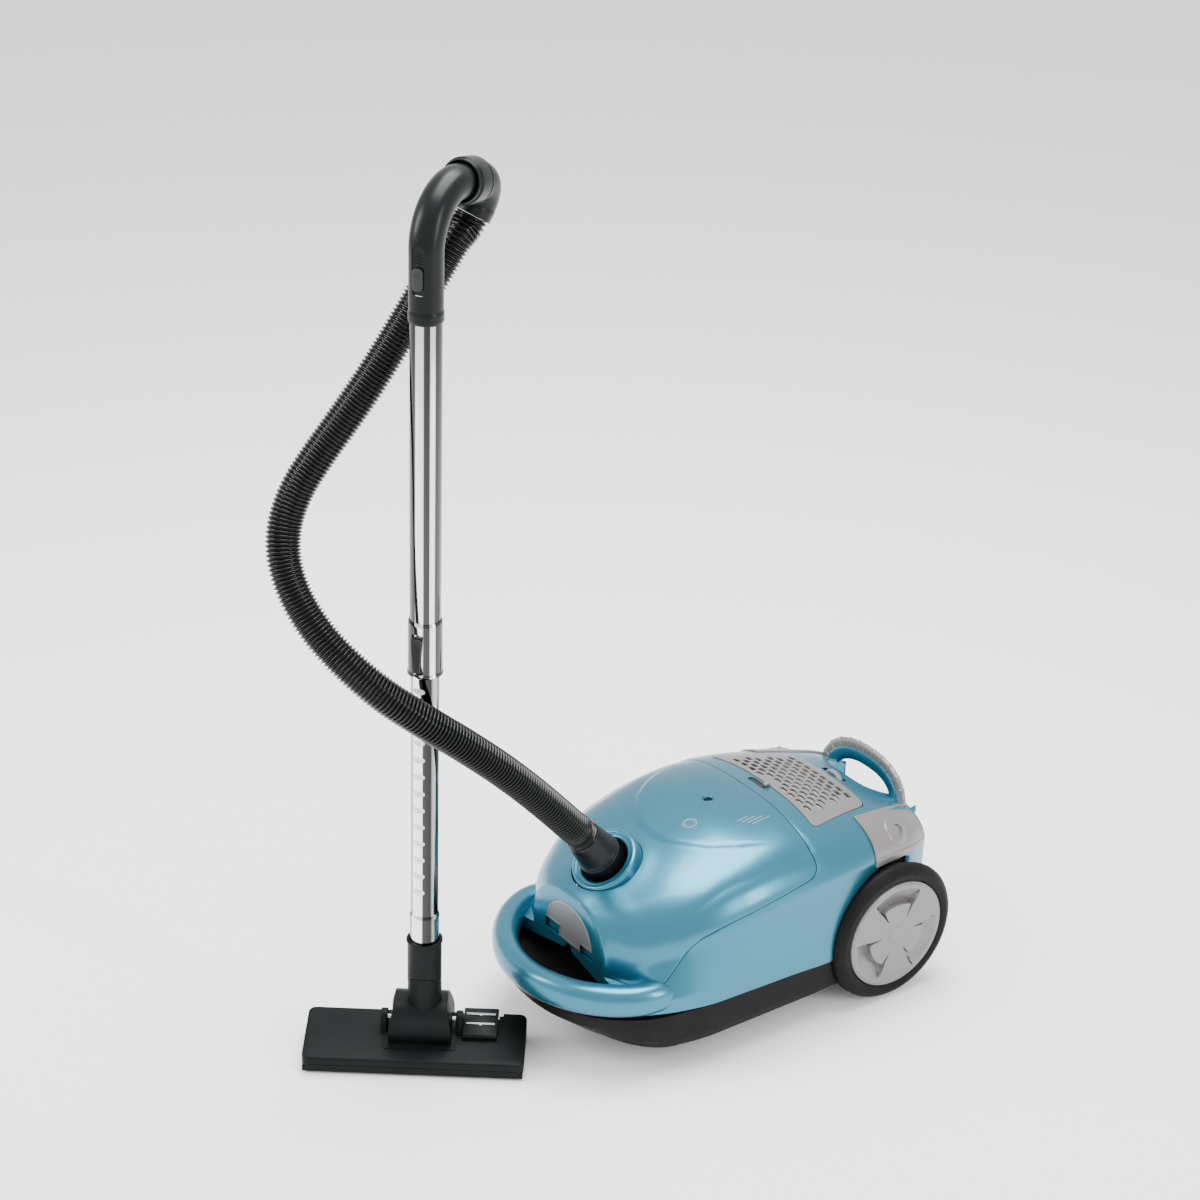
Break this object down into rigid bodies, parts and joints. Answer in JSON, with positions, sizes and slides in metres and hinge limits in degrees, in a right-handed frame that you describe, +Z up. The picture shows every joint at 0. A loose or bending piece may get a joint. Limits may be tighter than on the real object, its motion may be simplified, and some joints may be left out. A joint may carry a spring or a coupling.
{
  "type": "canister vacuum cleaner",
  "caption": "Low canister vacuum cleaner on wheels with a hinged lid, bumper handle, ribbed hose, swivel grip, telescopic metal wand and a flat floor head.",
  "frame": {"origin": "on the floor at the centre of the footprint of everything but the hose, its cuff and its elbow", "axes": "+Z up, -Y towards the canister's front (hose inlet), +X towards the canister's left side (power pedal)"},
  "size_m": [0.3353, 0.7979, 1.0996],
  "materials": {
    "casing_blue": "metallic blue, semi-gloss",
    "silver_trim": "silver paint, satin",
    "black_plastic": "fine-textured black",
    "black_gloss": "smooth black",
    "rubber": "matt black",
    "chrome": "mirror polished",
    "steel": "plain",
    "grey_plastic": "satin grey",
    "white_plastic": "plain white",
    "paper": "buff filter paper",
    "board_green": "green board",
    "lens_clear": "clear red"
  },
  "bodies": {
    "canister": {"body_shell": "casing_blue", "front_carry_handle": "casing_blue", "carry_handle_liner": "casing_blue", "carry_handle": "silver_trim", "base_pan": "black_plastic", "bulkhead": "black_plastic", "cord_reel_axle": "black_plastic", "cord_gland": "black_plastic", "hose": "black_gloss", "motor_mount": "rubber", "power_pedal_spring": "steel", "cord_rewind_pedal_spring": "steel", "motor": "steel", "base_screw_left": "steel", "base_screw_right": "steel", "wheel_axle_left": "steel", "wheel_axle_right": "steel", "motor_inlet_filter": "white_plastic", "exhaust_filter": "white_plastic", "bag_holder": "white_plastic", "dust_bag": "paper", "circuit_board": "board_green"},
    "lid": {"top_cover": "casing_blue", "indicator_lens": "lens_clear", "inlet_ring": "casing_blue", "inlet_seal": "rubber"},
    "latch": {"lid_latch": "silver_trim"},
    "cuff": {"hose_cuff": "black_gloss"},
    "grille": {"exhaust_grille": "silver_trim"},
    "power_pedal": {"power_pedal": "silver_trim"},
    "rewind_pedal": {"cord_rewind_pedal": "silver_trim"},
    "dial": {"suction_dial": "silver_trim"},
    "fan": {"fan_impeller": "steel"},
    "reel": {"cord_reel": "grey_plastic"},
    "wheel_left": {"wheel_tyre_left": "rubber", "wheel_hub_left": "silver_trim"},
    "wheel_right": {"wheel_tyre_right": "rubber", "wheel_hub_right": "silver_trim"},
    "caster": {"caster_fork": "black_plastic", "caster_pin": "steel"},
    "roller": {"caster_roller": "grey_plastic"},
    "wand": {"handle_grip": "black_gloss", "upper_tube": "chrome", "lock_sleeve": "chrome", "swivel_collar": "black_gloss", "hose_elbow": "black_gloss"},
    "bleed_slider": {"bleed_slider": "grey_plastic"},
    "lock_button": {"lock_button": "grey_plastic"},
    "lower_wand": {"lower_tube": "chrome", "pipe_socket": "black_plastic"},
    "neck": {"neck_barrel": "black_plastic"},
    "head": {"head_cover": "black_plastic", "sole_plate": "black_plastic", "head_glide_a": "steel", "head_glide_b": "steel", "barrel_pin_left": "steel", "barrel_pin_right": "steel"},
    "mode_pedal": {"mode_pedal": "black_plastic"},
    "brushes": {"brush_strip_front": "grey_plastic", "brush_strip_rear": "grey_plastic"}
  },
  "joints": [
    {"name": "lid_hinge", "type": "hinge", "parent": "canister", "child": "lid", "pos_m": [0, 0.1806, 0.267], "axis": [-1, 0, 0], "range_deg": [0, 60], "deforming": ["hose"]},
    {"name": "latch_pull", "type": "hinge", "parent": "lid", "child": "latch", "pos_m": [0, -0.0789, 0.175], "axis": [-1, 0, 0], "range_deg": [0, 14], "stiffness_Nm_per_rad": 0.2},
    {"name": "cuff_swivel", "type": "hinge", "parent": "lid", "child": "cuff", "pos_m": [0, -0.0264, 0.2205], "axis": [0, -0.6, 0.8], "continuous": true},
    {"name": "grille_hinge", "type": "hinge", "parent": "canister", "child": "grille", "pos_m": [0, 0.3151, 0.2365], "axis": [-1, 0, 0], "range_deg": [0, 60]},
    {"name": "power_press", "type": "slide", "parent": "canister", "child": "power_pedal", "axis": [-0.7113, -0.2131, -0.6698], "range_m": [0, 0.0025], "stiffness_N_per_m": 1500},
    {"name": "rewind_press", "type": "slide", "parent": "canister", "child": "rewind_pedal", "axis": [0.7113, -0.2131, -0.6698], "range_m": [0, 0.0025], "stiffness_N_per_m": 1500},
    {"name": "dial_turn", "type": "hinge", "parent": "canister", "child": "dial", "pos_m": [0, 0.3246, 0.219], "axis": [0, 1, 0], "range_deg": [-60, 60]},
    {"name": "fan_spin", "type": "hinge", "parent": "canister", "child": "fan", "pos_m": [-0.052, 0.1816, 0.098], "axis": [0, 1, 0], "continuous": true},
    {"name": "reel_spin", "type": "hinge", "parent": "canister", "child": "reel", "pos_m": [0.058, 0.2616, 0.104], "axis": [1, 0, 0], "continuous": true},
    {"name": "wheel_left_spin", "type": "hinge", "parent": "canister", "child": "wheel_left", "pos_m": [0.14875, 0.3016, 0.092], "axis": [1, 0, 0], "continuous": true},
    {"name": "wheel_right_spin", "type": "hinge", "parent": "canister", "child": "wheel_right", "pos_m": [-0.14875, 0.3016, 0.092], "axis": [1, 0, 0], "continuous": true},
    {"name": "caster_swivel", "type": "hinge", "parent": "canister", "child": "caster", "pos_m": [0, -0.0214, 0.03], "axis": [0, 0, 1], "continuous": true},
    {"name": "roller_spin", "type": "hinge", "parent": "caster", "child": "roller", "pos_m": [0, -0.0134, 0.0135], "axis": [1, 0, 0], "continuous": true},
    {"name": "wand_swivel", "type": "hinge", "parent": "canister", "child": "lower_wand", "pos_m": [-0.08196, -0.18906, 1.07458], "axis": [-0.4612, 0.8601, -0.2181], "range_deg": [0, 25], "deforming": ["hose"]},
    {"name": "bleed_slide", "type": "slide", "parent": "wand", "child": "bleed_slider", "axis": [0, 0, 1], "range_m": [0, 0.014]},
    {"name": "lock_press", "type": "slide", "parent": "wand", "child": "lock_button", "axis": [-0.4726, 0.8813, 0], "range_m": [0, 0.0015], "stiffness_N_per_m": 600},
    {"name": "telescope", "type": "slide", "parent": "lower_wand", "child": "wand", "axis": [0, 0, -1], "range_m": [0, 0.2], "deforming": ["hose"]},
    {"name": "neck_swivel", "type": "hinge", "parent": "lower_wand", "child": "neck", "pos_m": [-0.048, -0.2524, 0.108], "axis": [-0.3993, 0.3009, 0.866], "range_deg": [-60, 60]},
    {"name": "head_tilt", "type": "hinge", "parent": "neck", "child": "head", "pos_m": [-0.06598, -0.25237, 0.044], "axis": [0.6018, 0.7986, 0], "range_deg": [-5, 50]},
    {"name": "mode_rock", "type": "hinge", "parent": "head", "child": "mode_pedal", "pos_m": [-0.06997, -0.24936, 0.0285], "axis": [0.6018, 0.7986, 0], "range_deg": [0, 6]},
    {"name": "brush_lower", "type": "slide", "parent": "head", "child": "brushes", "axis": [0, 0, -1], "range_m": [0, 0.0026]}
  ],
  "couplings": [
    {"joint": "brush_lower", "follows": "mode_rock", "m_per_rad": 0.02292}
  ]
}
